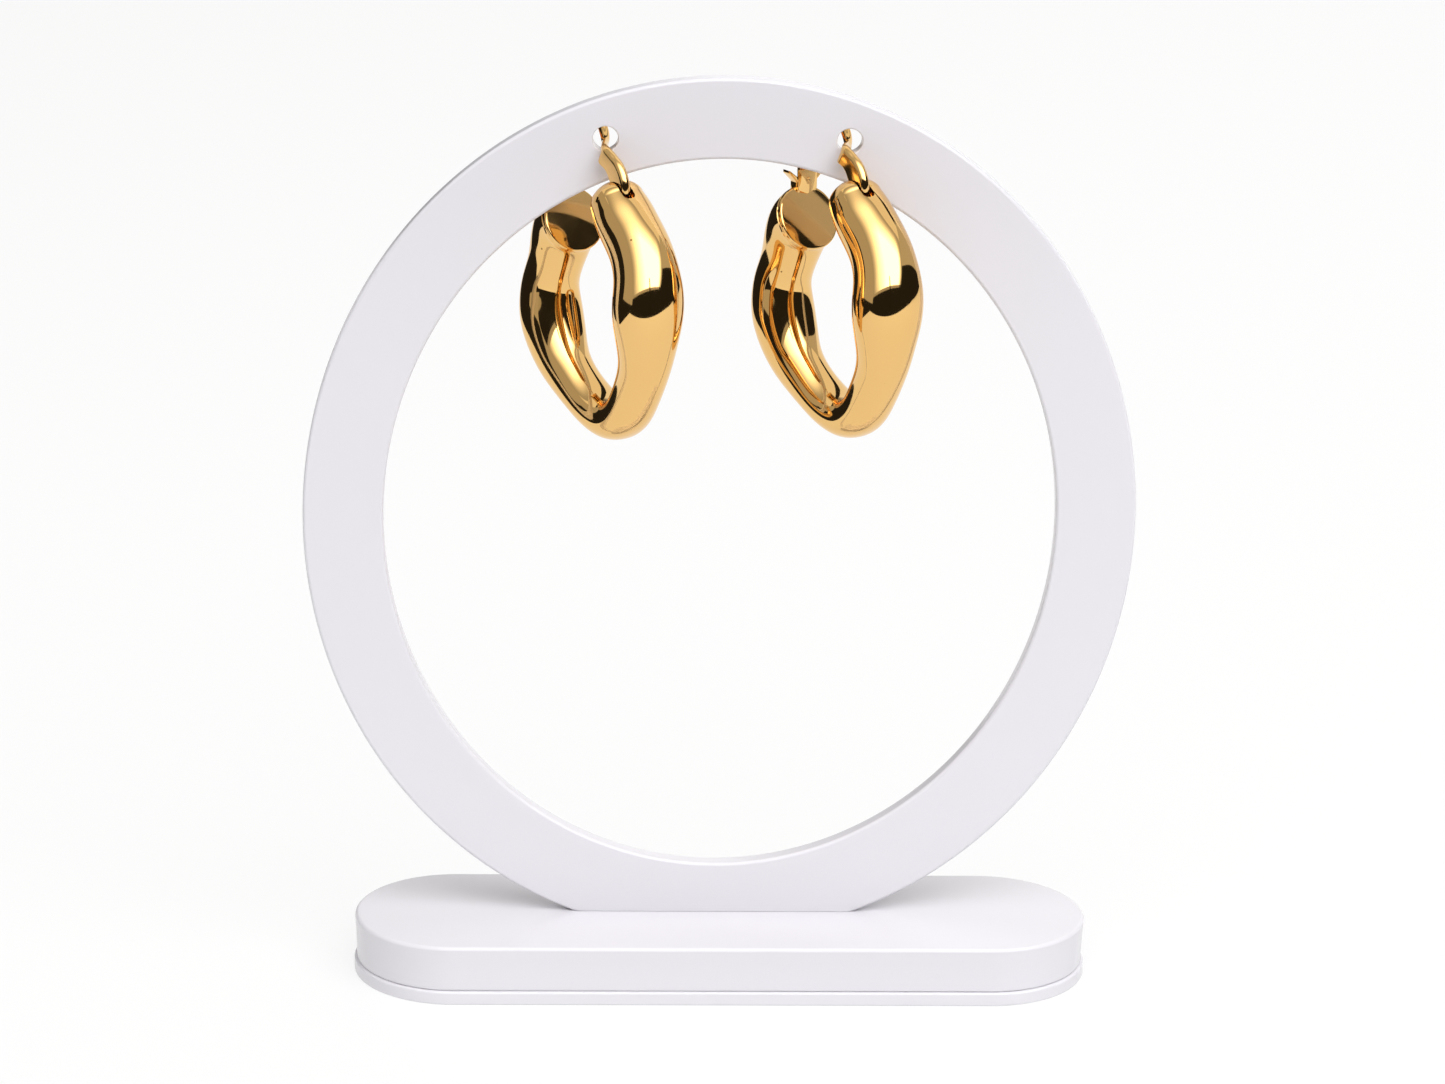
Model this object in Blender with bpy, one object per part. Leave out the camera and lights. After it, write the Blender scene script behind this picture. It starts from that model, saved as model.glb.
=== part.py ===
# A pair of dented hollow hoop earrings that hang on an upright ring stand.
# Metres, +Z up, the stand's front towards -Y. The origin is the middle of the base's underside.
# Each hoop is drawn in its own plane: "across" runs from its back arm to its front arm, "up" is +Z,
# and "side" is square to the hoop, towards the right of the stand.

from math import cos, pi, radians, sin, sqrt

import bmesh
import bpy
import numpy as np
from mathutils import Vector

# Base of the stand
BASE_LENGTH = 0.0964
BASE_DEPTH = 0.0266
BASE_HEIGHT = 0.0079
BASE_RIM_ROUND = 0.0005
BASE_WAIST = 0.00035
PLINTH_HEIGHT = 0.0018

# Ring of the stand, an upright flat plate a little taller than it is wide
RING_HALF_WIDTH = 0.0535
RING_HALF_HEIGHT = 0.0575
RING_BAND = 0.0103
RING_THICKNESS = 0.0025
RING_ROUND = 0.00045
RING_SUNK = 0.0035
RING_LEFT_OF_MIDDLE = 0.0010
RING_BEHIND_MIDDLE = 0.0009
FOOT_GAP = 0.0003

# The two holes that the ear wires go through
HOLE_SPACING = 0.0306
HOLE_RADIUS = 0.00185
HOLE_RIM_ROUND = 0.00025

# Where each hoop hangs and how far it is turned from the line of sight
HOOP_TURN_DEGREES = 33.0
HOOP_IN_FRONT = 0.0012
LEFT_HOOP_SHIFT = 0.00025
LEFT_HOOP_BELOW_HOLE = 0.0203
RIGHT_HOOP_SHIFT = -0.0006
RIGHT_HOOP_BELOW_HOLE = 0.0198

# The hoop's tube
HOOP_HALF_WIDTH = 0.0114
HOOP_HALF_HEIGHT = 0.0150
TUBE_RADIUS = 0.0042
TUBE_WALL = 0.0008
DOME_LENGTH = 0.0025
FACE_ROUND = 0.00025
HINGE_BLOCK = 0.0030
SECTION_SQUARENESS = 2.2

# Stations from the hinge end, down the front arm, round the bottom and up the back arm to the flat face.
# across and up are shares of the hoop's half width and half height, side, deep and wide of the tube's radius:
# the middle of the section, its half size in the hoop's plane and its half size square to that plane.
STATIONS = (
    # across, up, side, deep, wide
    (0.20, 0.87, 0.01, 0.74, 0.84),
    (0.31, 0.78, 0.01, 0.84, 0.92),
    (0.48, 0.66, 0.00, 0.89, 0.91),
    (0.67, 0.53, -0.02, 0.91, 0.93),
    (0.82, 0.37, -0.08, 0.93, 0.98),
    (0.91, 0.18, -0.16, 0.98, 1.08),
    (0.93, -0.01, -0.20, 0.96, 1.07),
    (0.91, -0.17, -0.19, 0.90, 0.96),
    (0.86, -0.37, -0.13, 0.80, 0.82),
    (0.76, -0.55, -0.07, 0.75, 0.74),
    (0.63, -0.73, -0.04, 0.71, 0.73),
    (0.48, -0.90, -0.02, 0.66, 0.75),
    (0.25, -1.01, 0.00, 0.62, 0.79),
    (-0.04, -0.98, -0.03, 0.62, 0.80),
    (-0.29, -0.89, -0.10, 0.64, 0.76),
    (-0.52, -0.78, -0.16, 0.71, 0.74),
    (-0.74, -0.65, -0.17, 0.79, 0.81),
    (-0.91, -0.48, -0.14, 0.88, 0.93),
    (-1.03, -0.28, -0.13, 0.92, 0.98),
    (-1.08, -0.07, -0.10, 0.90, 0.88),
    (-1.03, 0.08, -0.08, 0.84, 0.81),
    (-0.96, 0.21, -0.07, 0.86, 0.82),
    (-0.89, 0.36, -0.06, 0.93, 0.90),
    (-0.80, 0.50, -0.07, 0.98, 0.94),
    (-0.71, 0.57, -0.09, 0.99, 0.98),
    (-0.61, 0.60, -0.10, 1.00, 1.01),
)
STEPS_BETWEEN_STATIONS = 2
SECTION_POINTS = 20
CAVITY_POINTS = 14

# Ear wire: an arch from the hinge pin over to the catch, a wide band up to its shoulder and a slim post beyond it
PIN_ACROSS = 0.0036
PIN_UP = 0.0133
PIN_RADIUS = 0.00045
PIN_CLEARANCE = 0.0002
EYE_WALL = 0.00055
WIRE_SIDE = -0.0003
ARCH_HEIGHT = 0.0078
BAND_WIDTH = 0.0025
BAND_THICKNESS = 0.0013
POST_WIDTH = 0.0011
POST_THICKNESS = 0.0009

# The wire from its pin to its tip. across is a share of the half span, 1 over the pin and -1 over the tip, and up a
# share of the arch's height. side is a share of the band's thickness. outer and inner are how far the edges lie from
# the line on its two sides: shares of the band's width, or of the post's width where post is 1.
WIRE_STATIONS = (
    # across, up, side, outer, inner, post
    (1.00, 0.00, 0.00, 0.46, 0.46, 0),
    (1.04, 0.13, 0.00, 0.46, 0.48, 0),
    (1.04, 0.25, 0.00, 0.48, 0.60, 0),
    (0.97, 0.38, 0.00, 0.50, 0.68, 0),
    (0.86, 0.50, 0.00, 0.48, 0.66, 0),
    (0.73, 0.60, 0.00, 0.42, 0.58, 0),
    (0.62, 0.68, 0.00, 0.36, 0.54, 0),
    (0.54, 0.76, 0.00, 0.30, 0.64, 0),
    (0.50, 0.83, 0.06, 0.27, 0.78, 0),
    (0.48, 0.87, 0.18, 0.50, 0.65, 1),
    (0.41, 0.89, 0.46, 0.50, 0.50, 1),
    (0.31, 0.90, 0.78, 0.50, 0.50, 1),
    (0.19, 0.91, 1.12, 0.50, 0.50, 1),
    (0.06, 0.93, 1.52, 0.50, 0.50, 1),
    (-0.07, 0.96, 1.92, 0.50, 0.50, 1),
    (-0.20, 1.01, 2.20, 0.50, 0.50, 1),
    (-0.36, 1.06, 2.10, 0.50, 0.50, 1),
    (-0.54, 1.00, 1.68, 0.50, 0.50, 1),
    (-0.73, 0.85, 1.14, 0.50, 0.50, 1),
    (-0.88, 0.66, 0.72, 0.50, 0.50, 1),
    (-0.97, 0.45, 0.47, 0.50, 0.50, 1),
    (-1.01, 0.22, 0.38, 0.50, 0.50, 1),
)
WIRE_STEPS = 2
WIRE_POINTS = 12
WIRE_SQUARENESS = 3.0

# Slot in the dome for the root of the wire, open into the hollow below
SLOT_SIDE_GAP = 0.00045
SLOT_END_GAP = 0.0011
SLOT_BEHIND_PIN = 0.0023
SLOT_BELOW_PIN = 0.0032
PIN_SEAT = 0.0008

# Catch: a pointed plate on the flat back face, with two cheeks behind it whose tops flare out as lips
CATCH_PLATE = 0.0004
CATCH_PROUD = 0.0006
CATCH_SIDE = 0.0002
CATCH_WIDTH = 0.0029
CATCH_ABOVE_TUBE = 0.0022
CATCH_BELOW_TUBE = 0.0004
CATCH_POINT = 0.0006
CATCH_CHEEK = 0.0004
CATCH_REACH = 0.0014
LIP_OUT = 0.0012
LIP_RISE = 0.0012
CATCH_SUNK = 0.0011
TIP_CLEARANCE = 0.0004

WHITE_PLASTIC = ("white_gloss_plastic", (0.86, 0.85, 0.88, 1.0), 0.25, 0.0)
GOLD = ("polished_gold", (0.93, 0.66, 0.25, 1.0), 0.08, 1.0)


def clear_scene():
    for thing in list(bpy.data.objects):
        bpy.data.objects.remove(thing, do_unlink=True)


def material(name, colour, roughness, metallic):
    """The Principled material of this name, made once."""
    made = bpy.data.materials.get(name)
    if made is None:
        made = bpy.data.materials.new(name)
        made.use_nodes = True
        shader = made.node_tree.nodes["Principled BSDF"]
        shader.inputs["Base Color"].default_value = colour
        shader.inputs["Roughness"].default_value = roughness
        shader.inputs["Metallic"].default_value = metallic
    return made


def add_object(name, mesh, look=None, parent=None, at=(0, 0, 0)):
    thing = bpy.data.objects.new(name, mesh)
    bpy.context.scene.collection.objects.link(thing)
    thing.parent = parent
    thing.location = at
    if look:
        mesh.materials.clear()
        mesh.materials.append(material(*look))
    return thing


def as_cutter(thing):
    """A helper that only shapes its neighbour."""
    thing.hide_render = True
    thing.display_type = "WIRE"
    return thing


def combine(thing, other, operation):
    """A live Boolean on thing with other as its helper."""
    change = thing.modifiers.new(f"{operation.lower()} {other.name}", "BOOLEAN")
    change.operation = operation
    change.solver = "EXACT"
    change.object = as_cutter(other)


def finish_mesh(bm, name):
    """The bmesh as a mesh whose faces point outwards."""
    bmesh.ops.recalc_face_normals(bm, faces=bm.faces)
    mesh = bpy.data.meshes.new(name)
    bm.to_mesh(mesh)
    bm.free()
    mesh.shade_smooth()
    mesh.set_sharp_from_angle(angle=radians(35))
    return mesh


def loft(rings, name, closed_path=False):
    """A closed mesh through rings of points (an array of rings, points and xyz), capped unless its path closes."""
    rings = np.asarray(rings)
    bm = bmesh.new()
    rows = [[bm.verts.new(point) for point in ring] for ring in rings]
    count = len(rows[0])
    pairs = list(zip(rows, rows[1:]))
    if closed_path:
        pairs.append((rows[-1], rows[0]))
    for lower, upper in pairs:
        for i in range(count):
            j = (i + 1) % count
            bm.faces.new((lower[i], lower[j], upper[j], upper[i]))
    if not closed_path:
        bm.faces.new(rows[0][::-1])
        bm.faces.new(rows[-1])
    return finish_mesh(bm, name)


def prism(outline, axis, start, end, name):
    """A plate: an outline of pairs in the plane square to one axis, drawn out along it from start to end."""
    rings = []
    for level in (start, end):
        rings.append([np.insert(np.array(pair, float), axis, level) for pair in outline])
    return loft(rings, name)


def superellipse(half_x, half_y, squareness, count):
    """Points round an oval that is a true ellipse at squareness 2 and nearer a rectangle above it."""
    turn = np.arange(count) * 2 * pi / count
    power = 2 / squareness
    x = half_x * np.sign(np.cos(turn)) * np.abs(np.cos(turn)) ** power
    y = half_y * np.sign(np.sin(turn)) * np.abs(np.sin(turn)) ** power
    return np.stack([x, y], axis=1)


def through_rows(rows, steps):
    """A smooth run through every row of a table: a Catmull-Rom curve with this many steps from row to row."""
    rows = np.asarray(rows, float)
    ends = np.vstack([2 * rows[0] - rows[1], rows, 2 * rows[-1] - rows[-2]])
    share = np.arange(steps)[:, None] / steps
    runs = []
    for a, b, c, d in zip(ends, ends[1:], ends[2:], ends[3:]):
        bend = (2 * a - 5 * b + 4 * c - d) * share**2 + (3 * b - a - 3 * c + d) * share**3
        runs.append(b + 0.5 * ((c - a) * share + bend))
    return np.vstack(runs + [rows[-1:]])


def stadium(length, depth, inset, count=14):
    """Outline of a straight-sided shape with half-round ends, moved in by inset."""
    radius = depth / 2 - inset
    middle = length / 2 - depth / 2
    points = []
    for side in (1, -1):
        for turn in np.linspace(-pi / 2, pi / 2, count):
            points.append((side * (middle + radius * cos(turn)), side * radius * sin(turn)))
    return np.array(points)


def build_base():
    """The foot: a low block, pinched between its rounded top rim and its plinth."""
    profile = (
        (0.0, BASE_RIM_ROUND / 2),
        (BASE_RIM_ROUND / 2, 0.0),
        (PLINTH_HEIGHT, 0.0),
        (PLINTH_HEIGHT + BASE_WAIST, BASE_WAIST),
        (0.75 * BASE_HEIGHT, 0.75 * BASE_WAIST),
        (BASE_HEIGHT - BASE_RIM_ROUND, 0.35 * BASE_WAIST),
        (BASE_HEIGHT - 0.3 * BASE_RIM_ROUND, 0.35 * BASE_WAIST + 0.3 * BASE_RIM_ROUND),
        (BASE_HEIGHT, 0.35 * BASE_WAIST + BASE_RIM_ROUND),
    )
    rings = []
    for height, inset in profile:
        outline = stadium(BASE_LENGTH, BASE_DEPTH, inset)
        rings.append(np.column_stack([outline, np.full(len(outline), height)]))
    add_object("stand_base", loft(rings, "stand_base"), WHITE_PLASTIC)


def ring_centre():
    return Vector((-RING_LEFT_OF_MIDDLE, RING_BEHIND_MIDDLE, BASE_HEIGHT + RING_HALF_HEIGHT - RING_SUNK))


def hole_centre(side):
    """The middle of a wire hole, halfway across the ring's band, side -1 for the left one and 1 for the right one."""
    middle_width = RING_HALF_WIDTH - RING_BAND / 2
    middle_height = RING_HALF_HEIGHT - RING_BAND / 2
    above = middle_height * sqrt(1 - (HOLE_SPACING / 2 / middle_width) ** 2)
    return ring_centre() + Vector((side * HOLE_SPACING / 2, 0, above))


def band_section():
    """Corners of the ring's section, rounded, as pairs of distance in from the outer edge and depth."""
    half = RING_THICKNESS / 2
    corners = ((RING_ROUND, half), (RING_BAND - RING_ROUND, half))
    section = []
    for centre, start in zip((*corners, *corners[::-1]), (pi, pi / 2, 0, -pi / 2)):
        sign = 1 if start > 0 else -1
        for step in range(3):
            turn = start - step * pi / 4
            section.append((centre[0] + RING_ROUND * cos(turn), sign * (half - RING_ROUND) + RING_ROUND * sin(turn)))
    return section


def build_ring(count=96):
    """The upright plate: a rounded band carried round an oval, cut flat where it meets the base and drilled."""
    rings = []
    for turn in np.arange(count) * 2 * pi / count:
        rings.append(
            [
                ((RING_HALF_WIDTH - inward) * cos(turn), depth, (RING_HALF_HEIGHT - inward) * sin(turn))
                for inward, depth in band_section()
            ]
        )
    ring = add_object("stand_ring", loft(rings, "stand_ring", closed_path=True), WHITE_PLASTIC, at=ring_centre())
    foot = [(-RING_HALF_WIDTH, -RING_HALF_HEIGHT), (RING_HALF_WIDTH, -RING_HALF_HEIGHT)]
    foot_top = RING_SUNK + FOOT_GAP - RING_HALF_HEIGHT
    foot += [(RING_HALF_WIDTH, foot_top), (-RING_HALF_WIDTH, foot_top)]
    below = add_object("foot_cut", prism(foot, 1, -RING_THICKNESS, RING_THICKNESS, "foot_cut"), at=ring_centre())
    combine(ring, below, "DIFFERENCE")
    for name, side in (("left", -1), ("right", 1)):
        half = RING_THICKNESS / 2
        outside = half + RING_ROUND
        profile = (
            (-outside, HOLE_RADIUS + HOLE_RIM_ROUND + RING_ROUND),
            (-half, HOLE_RADIUS + HOLE_RIM_ROUND),
            (HOLE_RIM_ROUND - half, HOLE_RADIUS),
            (half - HOLE_RIM_ROUND, HOLE_RADIUS),
            (half, HOLE_RADIUS + HOLE_RIM_ROUND),
            (outside, HOLE_RADIUS + HOLE_RIM_ROUND + RING_ROUND),
        )
        circles = []
        for depth, radius in profile:
            circle = superellipse(radius, radius, 2, 20)
            circles.append(np.column_stack([circle[:, 0], np.full(len(circle), depth), circle[:, 1]]))
        drill = add_object(f"{name}_hole_cut", loft(circles, f"{name}_hole_cut"), at=hole_centre(side))
        combine(ring, drill, "DIFFERENCE")


def station_values():
    """The stations in metres, smoothed: across, up, side, deep, wide."""
    scale = (HOOP_HALF_WIDTH, HOOP_HALF_HEIGHT, TUBE_RADIUS, TUBE_RADIUS, TUBE_RADIUS)
    return through_rows(np.array(STATIONS) * scale, STEPS_BETWEEN_STATIONS)


def path_frames(points):
    """Unit directions along a path of (across, up) points, and square to it, to its left."""
    along = np.gradient(points, axis=0)
    along /= np.linalg.norm(along, axis=1)[:, None]
    outward = np.stack([along[:, 1], -along[:, 0]], axis=1) * -1
    return along, outward


def tube_rings(values, inward, count):
    """Oval sections along the tube, each shrunk by inward, as (across, side, up) points."""
    along, outward = path_frames(values[:, :2])
    rings = []
    for (across, up, side, deep, wide), out in zip(values, outward):
        oval = superellipse(deep - inward, wide - inward, SECTION_SQUARENESS, count)
        ring = np.column_stack([across + oval[:, 0] * out[0], side + oval[:, 1], up + oval[:, 0] * out[1]])
        rings.append(ring)
    return np.array(rings), along


def squeezed(ring, along, forward, share):
    """A ring moved forward along the path and shrunk about its own middle to a share of its size."""
    middle = ring.mean(axis=0)
    step = np.array([along[0], 0, along[1]]) * forward
    return middle + (ring - middle) * share + step


def hoop_mesh():
    """The outside of the tube, with a domed hinge end and a flat back face."""
    rings, along = tube_rings(station_values(), 0.0, SECTION_POINTS)
    dome = []
    for turn in np.radians((78, 58, 38, 19)):
        dome.append(squeezed(rings[0], along[0], -DOME_LENGTH * sin(turn), cos(turn)))
    rim = 1 - FACE_ROUND / TUBE_RADIUS
    face = squeezed(rings[-1], along[-1], FACE_ROUND, rim)
    return loft([*dome, *rings, face], "hoop")


def cavity_mesh():
    """The hollow of the tube, between the solid hinge block and the wall behind the flat face."""
    values = station_values()
    rings, along = tube_rings(values, TUBE_WALL, CAVITY_POINTS)
    steps = np.linalg.norm(np.diff(values[:, :2], axis=0), axis=1)
    travelled = np.concatenate([[0], np.cumsum(steps)])
    hollow = (travelled > HINGE_BLOCK) & (travelled < travelled[-1] - TUBE_WALL)
    return loft(rings[hollow], "cavity")


def arch_point(across, up):
    """A place on the wire, from shares of the half span and of the arch's height to (across, up) in metres."""
    tip_across, _ = wire_tip()
    middle = (PIN_ACROSS + tip_across) / 2
    return middle + across * (PIN_ACROSS - middle), PIN_UP + up * ARCH_HEIGHT


def back_face():
    """The last section of the tube: its middle, the way it faces and the way to its top, in the hoop's plane."""
    values = station_values()
    along, outward = path_frames(values[:, :2])
    return values[-1], along[-1], outward[-1]


def catch_place():
    """Front of the catch's plate and top of the tube under it, as (across, up)."""
    section, along, outward = back_face()
    top = section[:2] + outward * section[3]
    return top[0] + along[0] * FACE_ROUND + CATCH_PROUD, top[1]


def wire_tip():
    """Where the wire's centre line ends, inside the catch."""
    front, top = catch_place()
    return front - CATCH_PLATE - TIP_CLEARANCE - POST_WIDTH / 2, top + TIP_CLEARANCE


def wire_values():
    """The wire's stations in metres: across, up, side, outer, inner and half thickness."""
    rows = []
    for across, up, side, outer, inner, post in WIRE_STATIONS:
        width = POST_WIDTH if post else BAND_WIDTH
        thick = POST_THICKNESS if post else BAND_THICKNESS
        rows.append((*arch_point(across, up), side * BAND_THICKNESS, outer * width, inner * width, thick / 2))
    rows.append((*wire_tip(), CATCH_SIDE - WIRE_SIDE, POST_WIDTH / 2, POST_WIDTH / 2, POST_THICKNESS / 2))
    return np.array(rows)


def wire_mesh():
    """The flat wire about its pin: a tapered band whose inner side steps in at the shoulder to a slim post."""
    values = wire_values()
    line = through_rows(values[:, :3], WIRE_STEPS)
    _, inward = path_frames(line[:, :2])
    rings = []
    for index, (point, way) in enumerate(zip(line, inward)):
        outer, inner, half = [np.interp(index / WIRE_STEPS, np.arange(len(values)), edge) for edge in values[:, 3:].T]
        oval = superellipse((outer + inner) / 2, half, WIRE_SQUARENESS, WIRE_POINTS)
        reach = oval[:, 0] + (inner - outer) / 2
        across = point[0] + reach * way[0] - PIN_ACROSS
        up = point[1] + reach * way[1] - PIN_UP
        rings.append(np.column_stack([across, point[2] + oval[:, 1], up]))
    return loft(rings, "ear_wire")


def round_rod(radius, start, end, count, name):
    """A rod along the hoop's side axis."""
    circle = superellipse(radius, radius, 2, count)
    rings = [np.column_stack([circle[:, 0], np.full(count, level), circle[:, 1]]) for level in (start, end)]
    return loft(rings, name)


def eye_radius():
    return PIN_RADIUS + PIN_CLEARANCE + EYE_WALL


def slot_mesh():
    """The slot for the wire's root, about the pin: a box open at the top of the dome."""
    half = BAND_THICKNESS / 2 + SLOT_SIDE_GAP
    front = eye_radius() + SLOT_END_GAP
    above = 2 * TUBE_RADIUS
    outline = [(-SLOT_BEHIND_PIN, -SLOT_BELOW_PIN), (front, -SLOT_BELOW_PIN), (front, above), (-SLOT_BEHIND_PIN, above)]
    return prism(outline, 1, -half, half, "slot")


def catch_plate_mesh():
    """The catch's plate, with a point at its lower end."""
    front, top = catch_place()
    half = CATCH_WIDTH / 2
    low = top - CATCH_BELOW_TUBE
    high = top + CATCH_ABOVE_TUBE
    outline = [(0, low - CATCH_POINT), (half, low), (half, high), (-half, high), (-half, low)]
    return prism(outline, 0, front - CATCH_PLATE, front, "catch_plate")


def catch_cheek_mesh(side):
    """One cheek, upright to the plate's top and then flared outwards as a lip."""
    front, top = catch_place()
    outer = CATCH_WIDTH / 2
    inner = outer - CATCH_CHEEK
    low = top - CATCH_SUNK
    bend = top + CATCH_ABOVE_TUBE - LIP_RISE
    outline = [(inner, low), (outer, low), (outer, bend - CATCH_CHEEK), (outer + LIP_OUT, bend + LIP_RISE - CATCH_CHEEK)]
    outline += [(outer + LIP_OUT, bend + LIP_RISE), (inner, bend)]
    flipped = [(side * reach, height) for reach, height in outline]
    return prism(flipped, 0, front - CATCH_PLATE - CATCH_REACH, front - CATCH_PLATE / 2, "catch_cheek")


def add_hoop(name, holder):
    """The hollow tube with its hinge slot, and its catch soldered on."""
    hoop = add_object(f"{name}_hoop", hoop_mesh(), GOLD, holder)
    pin_at = (PIN_ACROSS, WIRE_SIDE, PIN_UP)
    half = BAND_THICKNESS / 2 + SLOT_SIDE_GAP + PIN_SEAT + PIN_CLEARANCE
    seat = round_rod(PIN_RADIUS + PIN_CLEARANCE, -half, half, 12, "pin_seat")
    combine(hoop, add_object(f"{name}_cavity", cavity_mesh(), None, holder), "DIFFERENCE")
    combine(hoop, add_object(f"{name}_slot", slot_mesh(), None, holder, pin_at), "DIFFERENCE")
    combine(hoop, add_object(f"{name}_pin_seat", seat, None, holder, pin_at), "DIFFERENCE")
    catch_at = (0, CATCH_SIDE, 0)
    combine(hoop, add_object(f"{name}_catch_plate", catch_plate_mesh(), None, holder, catch_at), "UNION")
    for side in (-1, 1):
        cheek = add_object(f"{name}_catch_cheek_{side}", catch_cheek_mesh(side), None, holder, catch_at)
        combine(hoop, cheek, "UNION")


def add_wire(name, holder):
    """The ear wire: a band and post with a round eye at its root, bored for the pin."""
    pin_at = (PIN_ACROSS, WIRE_SIDE, PIN_UP)
    half = BAND_THICKNESS / 2
    wire = add_object(f"{name}_ear_wire", wire_mesh(), GOLD, holder, pin_at)
    eye = round_rod(eye_radius(), -half, half, 16, "eye")
    bore = round_rod(PIN_RADIUS + PIN_CLEARANCE, -2 * half, 2 * half, 12, "bore")
    combine(wire, add_object(f"{name}_eye", eye, None, holder, pin_at), "UNION")
    combine(wire, add_object(f"{name}_bore", bore, None, holder, pin_at), "DIFFERENCE")
    reach = BAND_THICKNESS / 2 + SLOT_SIDE_GAP + PIN_SEAT
    pin = round_rod(PIN_RADIUS, -reach, reach, 12, "hinge_pin")
    add_object(f"{name}_hinge_pin", pin, GOLD, holder, pin_at)


def add_earring(name, side, shift, below_hole):
    """One earring on an empty at the middle of its hoop, with the wire's own origin on the hinge pin."""
    hang = hole_centre(side) + Vector((shift, -RING_THICKNESS / 2 - HOOP_IN_FRONT, -below_hole))
    holder = bpy.data.objects.new(f"{name}_earring", None)
    bpy.context.scene.collection.objects.link(holder)
    holder.location = hang
    holder.rotation_euler = (0, 0, radians(HOOP_TURN_DEGREES - 90))
    add_hoop(name, holder)
    add_wire(name, holder)


clear_scene()
build_base()
build_ring()
add_earring("left", -1, LEFT_HOOP_SHIFT, LEFT_HOOP_BELOW_HOLE)
add_earring("right", 1, RIGHT_HOOP_SHIFT, RIGHT_HOOP_BELOW_HOLE)
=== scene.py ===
# A pair of dented gold hoop earrings hung on a white ring stand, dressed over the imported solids.
# Metres, +Z up, the stand's front towards -Y, the origin in the middle of the base's underside.
from math import cos, pi, radians, sin, sqrt

import bmesh
import bpy
import numpy as np
from mathutils import Matrix, Vector


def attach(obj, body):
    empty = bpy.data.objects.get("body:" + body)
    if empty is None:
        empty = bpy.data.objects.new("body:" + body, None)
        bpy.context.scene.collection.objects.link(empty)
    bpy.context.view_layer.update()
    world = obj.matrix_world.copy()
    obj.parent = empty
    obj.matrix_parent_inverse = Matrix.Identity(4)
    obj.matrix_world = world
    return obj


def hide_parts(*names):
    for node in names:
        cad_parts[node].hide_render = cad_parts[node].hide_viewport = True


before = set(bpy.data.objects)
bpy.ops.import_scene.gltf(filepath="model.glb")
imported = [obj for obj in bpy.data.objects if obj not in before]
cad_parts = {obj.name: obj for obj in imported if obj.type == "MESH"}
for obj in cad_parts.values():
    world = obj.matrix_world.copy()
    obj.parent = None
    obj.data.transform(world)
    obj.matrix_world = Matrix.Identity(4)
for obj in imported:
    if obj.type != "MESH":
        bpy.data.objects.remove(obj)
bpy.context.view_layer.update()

# Base of the stand: a low oblong block of polished white acrylic, moulded in one piece. Its top rim is
# rounded over, its sides are drawn in a little, and a thin plinth carries it on the table.
BASE_LENGTH = 0.0964
BASE_DEPTH = 0.0266
BASE_HEIGHT = 0.0079
BASE_WAIST = 0.00035
RIM_ROUND = 0.0005
PLINTH_HEIGHT = 0.0018
PLINTH_ROUND = 0.0003
SOLE_ROUND = 0.00025
SOLE_INSET = 0.0004
ACRYLIC = (0.708, 0.694, 0.733, 1.0)
ACRYLIC_CLOUD = (0.985, 0.983, 0.985, 1.0)
ACRYLIC_ROUGHNESS = (0.14, 0.26)


def surface(name, grid, wrap_along=False, cap_ends=False):
    """A mesh on a grid of points (along, across, xyz). Each cell is one quad, and across, the grid wraps.
    Along it the first row is joined to the last, or a fan closes each end row to its middle, where asked."""
    grid = np.asarray(grid, float)
    rows, columns = grid.shape[:2]
    index = np.arange(rows * columns).reshape(rows, columns)
    lower = index if wrap_along else index[:-1]
    upper = np.roll(index, -1, 0) if wrap_along else index[1:]
    faces = np.stack([lower, np.roll(lower, -1, 1), np.roll(upper, -1, 1), upper], -1).reshape(-1, 4).tolist()
    points = grid.reshape(-1, 3)
    if cap_ends:
        middles = np.stack([grid[0].mean(0), grid[-1].mean(0)])
        points = np.vstack([points, middles])
        first, last = rows * columns, rows * columns + 1
        faces += np.stack([np.roll(index[0], -1), index[0], np.full(columns, first)], -1).tolist()
        faces += np.stack([index[-1], np.roll(index[-1], -1), np.full(columns, last)], -1).tolist()
    mesh = bpy.data.meshes.new(name)
    mesh.from_pydata(points.tolist(), [], faces)
    shape = bmesh.new()
    shape.from_mesh(mesh)
    bmesh.ops.recalc_face_normals(shape, faces=shape.faces)
    shape.to_mesh(mesh)
    shape.free()
    return mesh


def piece(name, mesh, material):
    """The mesh as an object at the origin, shaded smooth except at its edges."""
    mesh.shade_smooth()
    mesh.set_sharp_from_angle(angle=radians(35))
    mesh.materials.append(material)
    made = bpy.data.objects.new(name, mesh)
    bpy.context.scene.collection.objects.link(made)
    return made


def feed(tree, socket, value):
    """Links an input to the output that it is given, or sets it to a plain value."""
    if isinstance(value, bpy.types.NodeSocket):
        tree.links.new(value, socket)
    else:
        socket.default_value = value


def node(tree, kind, feeds, **settings):
    """A node of one kind with its settings, and what feeds its inputs. It gives back its outputs."""
    made = tree.nodes.new(kind)
    for setting, value in settings.items():
        setattr(made, setting, value)
    for socket, value in feeds.items():
        feed(tree, made.inputs[socket], value)
    return made.outputs


def object_place(tree):
    """A point's place on the piece, in metres."""
    return node(tree, "ShaderNodeTexCoord", {})["Object"]


def noise(tree, place, scale, detail):
    """Soft random patches, so many to the metre, with this much finer detail in them."""
    return node(tree, "ShaderNodeTexNoise", {"Vector": place, "Scale": scale, "Detail": detail})["Fac"]


def ranged(tree, value, start, end, low, high):
    """The value carried from start and end to low and high, and held at both."""
    feeds = {"Value": value, "From Min": start, "From Max": end, "To Min": low, "To Max": high}
    return node(tree, "ShaderNodeMapRange", feeds)["Result"]


def mixed(tree, share, first, second):
    """A share of the way from the first colour to the second."""
    feeds = {"Factor": share, "A": first, "B": second}
    return node(tree, "ShaderNodeMix", feeds, data_type="RGBA")["Result"]


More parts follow.
